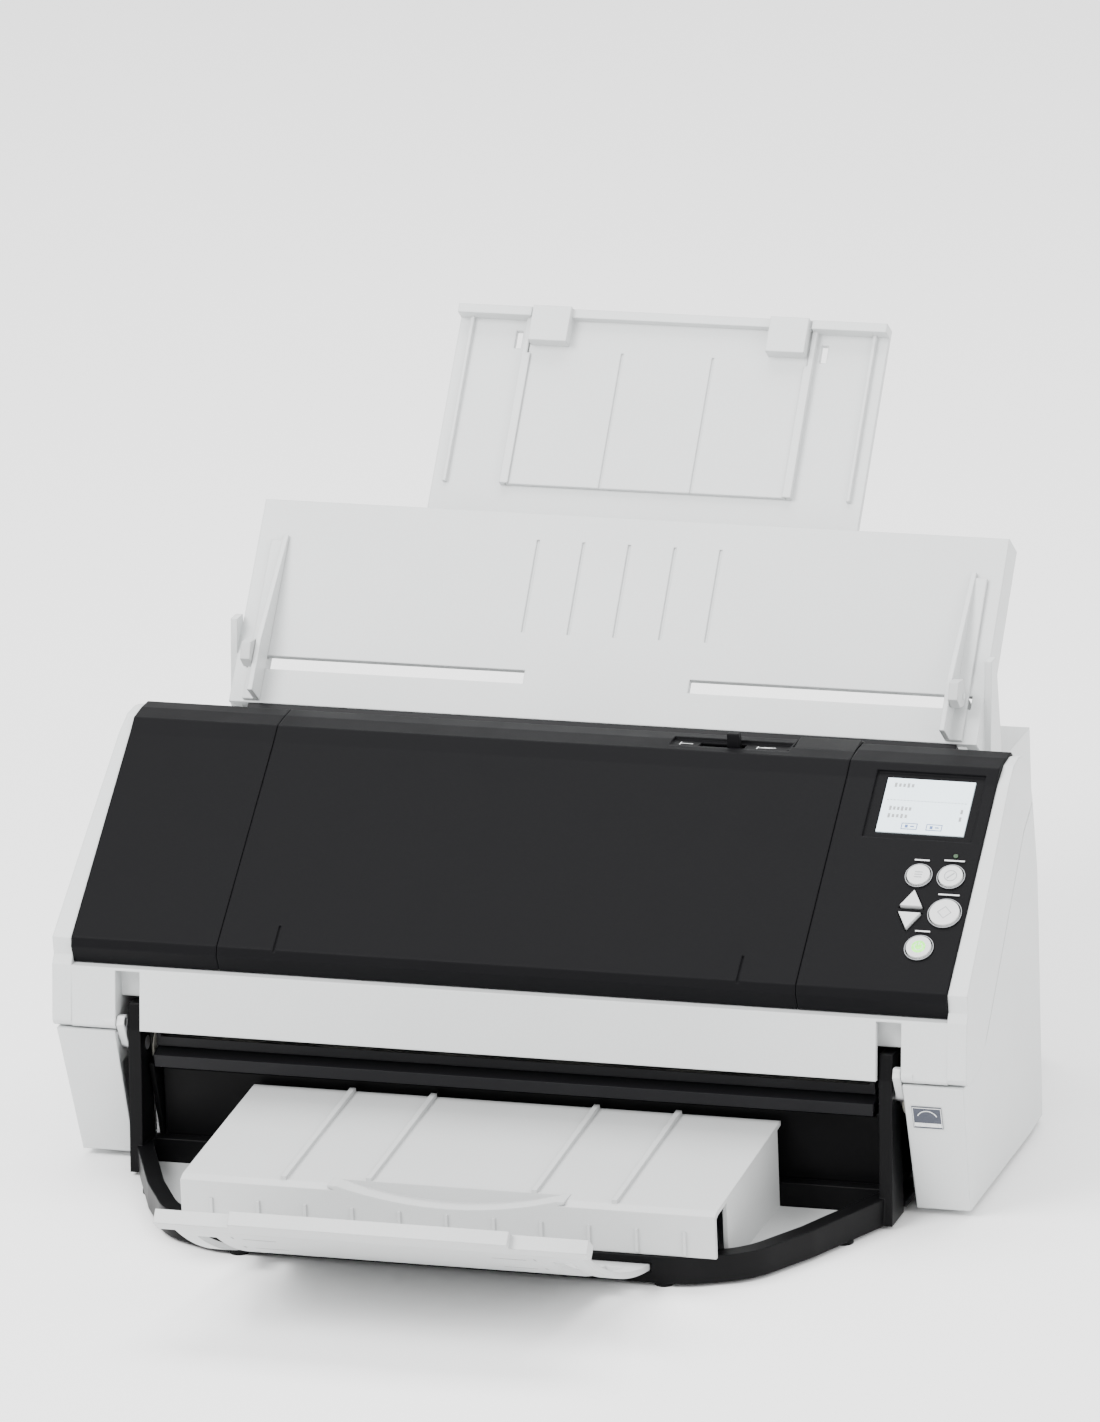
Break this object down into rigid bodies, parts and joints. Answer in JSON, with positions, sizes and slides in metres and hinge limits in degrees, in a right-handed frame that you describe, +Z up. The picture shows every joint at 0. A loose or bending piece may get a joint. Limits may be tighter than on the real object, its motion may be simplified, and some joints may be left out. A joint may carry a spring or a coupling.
{
  "type": "sheet fed document scanner",
  "caption": "Desktop sheet fed document scanner with hinged feeder cover, raised paper chute with side guides, operator panel and front paper stacker.",
  "frame": {"origin": "centre of the footprint box, on the desk", "axes": "+X to the operator's right across the paper, +Y to the rear, +Z up"},
  "size_m": [0.391, 0.4574, 0.3021],
  "materials": {
    "light_plastic": "satin",
    "dark_cover": "satin",
    "black_plastic": "satin",
    "tray_plastic": "satin",
    "button_plastic": "satin",
    "guide_plastic": "satin",
    "gear_plastic": "satin",
    "rubber": "matte",
    "steel": "satin",
    "glass": "polished",
    "lcd": "polished",
    "led_green": "polished",
    "board": "satin"
  },
  "bodies": {
    "case": {"base_pan": "black_plastic", "left_side_panel": "light_plastic", "right_side_panel": "light_plastic", "rear_cover": "light_plastic", "chassis_plates": "steel", "exit_walls": "black_plastic", "rubber_feet": "rubber", "pivot_pins": "steel", "main_board": "board", "power_inlet": "black_plastic", "usb_port": "steel", "case_screws": "steel", "main_motor": "steel", "drive_belts": "rubber", "shaft_bearings": "gear_plastic", "lower_guide": "guide_plastic", "lower_scan_glass": "glass", "lower_scan_unit": "black_plastic", "chute_panel": "light_plastic"},
    "pick_drive": {"pick_shaft": "steel", "pick_rollers": "rubber", "pick_pulley": "gear_plastic"},
    "feed_drive": {"feed_shaft": "steel", "feed_rollers": "rubber", "feed_pulley": "gear_plastic"},
    "eject_drive": {"eject_shaft": "steel", "eject_rollers": "rubber", "eject_pulley": "gear_plastic"},
    "motor_drive": {"motor_pulley": "steel"},
    "right_guide": {"right_side_guide": "light_plastic"},
    "left_guide": {"left_side_guide": "light_plastic"},
    "pinion": {"guide_pinion": "gear_plastic"},
    "right_lock": {"right_guide_lock_lever": "tray_plastic"},
    "left_lock": {"left_guide_lock_lever": "tray_plastic"},
    "extension": {"chute_extension": "light_plastic"},
    "extension_centre": {"chute_extension_centre": "light_plastic"},
    "feeder": {"left_top_cover": "dark_cover", "centre_top_cover": "dark_cover", "panel_cover": "dark_cover", "feeder_bezel": "light_plastic", "feeder_guide": "guide_plastic", "upper_scan_glass": "glass", "upper_scan_unit": "black_plastic", "lcd_window": "lcd", "lcd_module": "board", "button_board": "board", "check_led": "led_green"},
    "brake_idler": {"brake_roller": "gear_plastic"},
    "pinch_idler": {"pinch_roller": "gear_plastic"},
    "open_lever": {"cover_open_lever": "black_plastic"},
    "selector": {"feed_selector": "dark_cover"},
    "stacker": {"stacker_frame": "black_plastic", "stacker_tray": "tray_plastic"},
    "stack_extension": {"stacker_extension": "tray_plastic"},
    "menu_button": {"menu_button": "button_plastic"},
    "stop_button": {"stop_button": "button_plastic"},
    "scan_button": {"scan_button": "button_plastic"},
    "power_button": {"power_button": "button_plastic"},
    "up_button": {"up_button": "button_plastic"},
    "down_button": {"down_button": "button_plastic"}
  },
  "joints": [
    {"name": "feed_spin", "type": "hinge", "parent": "case", "child": "feed_drive", "pos_m": [0, 0.05129, 0.08467], "axis": [1, 0, 0], "continuous": true},
    {"name": "pick_spin", "type": "hinge", "parent": "case", "child": "pick_drive", "pos_m": [0, 0.068, 0.10459], "axis": [1, 0, 0], "continuous": true},
    {"name": "eject_spin", "type": "hinge", "parent": "case", "child": "eject_drive", "pos_m": [0, -0.01949, 0.04695], "axis": [1, 0, 0], "continuous": true},
    {"name": "motor_spin", "type": "hinge", "parent": "case", "child": "motor_drive", "pos_m": [0, 0.12015, 0.04], "axis": [1, 0, 0], "continuous": true},
    {"name": "right_guide_slide", "type": "slide", "parent": "case", "child": "right_guide", "axis": [-1, 0, 0], "range_m": [0, 0.11]},
    {"name": "left_guide_slide", "type": "slide", "parent": "case", "child": "left_guide", "axis": [1, 0, 0], "range_m": [0, 0.11]},
    {"name": "pinion_spin", "type": "hinge", "parent": "case", "child": "pinion", "pos_m": [0, 0.11022, 0.17295], "axis": [0, -0.766, 0.6428], "range_deg": [-800, 800]},
    {"name": "right_lock_turn", "type": "hinge", "parent": "right_guide", "child": "right_lock", "pos_m": [0, 0.10485, 0.17745], "axis": [1, 0, 0], "range_deg": [0, 14], "stiffness_Nm_per_rad": 0.02},
    {"name": "left_lock_turn", "type": "hinge", "parent": "left_guide", "child": "left_lock", "pos_m": [0, 0.10485, 0.17745], "axis": [1, 0, 0], "range_deg": [0, 14], "stiffness_Nm_per_rad": 0.02},
    {"name": "extension_slide", "type": "slide", "parent": "case", "child": "extension", "axis": [0, 0.6428, 0.766], "range_m": [-0.074, 0]},
    {"name": "extension_centre_slide", "type": "slide", "parent": "extension", "child": "extension_centre", "axis": [0, 0.6428, 0.766], "range_m": [0, 0.055]},
    {"name": "feeder_open", "type": "hinge", "parent": "case", "child": "feeder", "pos_m": [0, -0.04335, 0.065], "axis": [1, 0, 0], "range_deg": [0, 65]},
    {"name": "brake_spin", "type": "hinge", "parent": "feeder", "child": "brake_idler", "pos_m": [0, 0.03482, 0.09849], "axis": [1, 0, 0], "continuous": true},
    {"name": "pinch_spin", "type": "hinge", "parent": "feeder", "child": "pinch_idler", "pos_m": [0, -0.02381, 0.06184], "axis": [1, 0, 0], "continuous": true},
    {"name": "open_lever_turn", "type": "hinge", "parent": "feeder", "child": "open_lever", "pos_m": [0, 0.05935, 0.1625], "axis": [1, 0, 0], "range_deg": [0, 8], "stiffness_Nm_per_rad": 0.05},
    {"name": "selector_slide", "type": "slide", "parent": "feeder", "child": "selector", "axis": [1, 0, 0], "range_m": [-0.011, 0]},
    {"name": "stacker_lift", "type": "hinge", "parent": "case", "child": "stacker", "pos_m": [0, -0.03585, 0.054], "axis": [1, 0, 0], "range_deg": [-35, 0]},
    {"name": "stack_extension_turn", "type": "hinge", "parent": "stacker", "child": "stack_extension", "pos_m": [0, -0.09485, 0.206], "axis": [1, 0, 0], "range_deg": [0, 22]},
    {"name": "menu_button_press", "type": "slide", "parent": "feeder", "child": "menu_button", "axis": [0, 0.5976, -0.8018], "range_m": [0, 0.001], "stiffness_N_per_m": 600},
    {"name": "stop_button_press", "type": "slide", "parent": "feeder", "child": "stop_button", "axis": [0, 0.5976, -0.8018], "range_m": [0, 0.001], "stiffness_N_per_m": 600},
    {"name": "scan_button_press", "type": "slide", "parent": "feeder", "child": "scan_button", "axis": [0, 0.5976, -0.8018], "range_m": [0, 0.001], "stiffness_N_per_m": 600},
    {"name": "power_button_press", "type": "slide", "parent": "feeder", "child": "power_button", "axis": [0, 0.5976, -0.8018], "range_m": [0, 0.001], "stiffness_N_per_m": 600},
    {"name": "up_button_press", "type": "slide", "parent": "feeder", "child": "up_button", "axis": [0, 0.5976, -0.8018], "range_m": [0, 0.001], "stiffness_N_per_m": 600},
    {"name": "down_button_press", "type": "slide", "parent": "feeder", "child": "down_button", "axis": [0, 0.5976, -0.8018], "range_m": [0, 0.001], "stiffness_N_per_m": 600}
  ],
  "couplings": [
    {"joint": "pick_spin", "follows": "feed_spin", "ratio": 1},
    {"joint": "eject_spin", "follows": "feed_spin", "ratio": 1},
    {"joint": "motor_spin", "follows": "feed_spin", "ratio": 1},
    {"joint": "left_guide_slide", "follows": "right_guide_slide", "ratio": 1},
    {"joint": "pinion_spin", "follows": "right_guide_slide", "rad_per_m": -125}
  ]
}
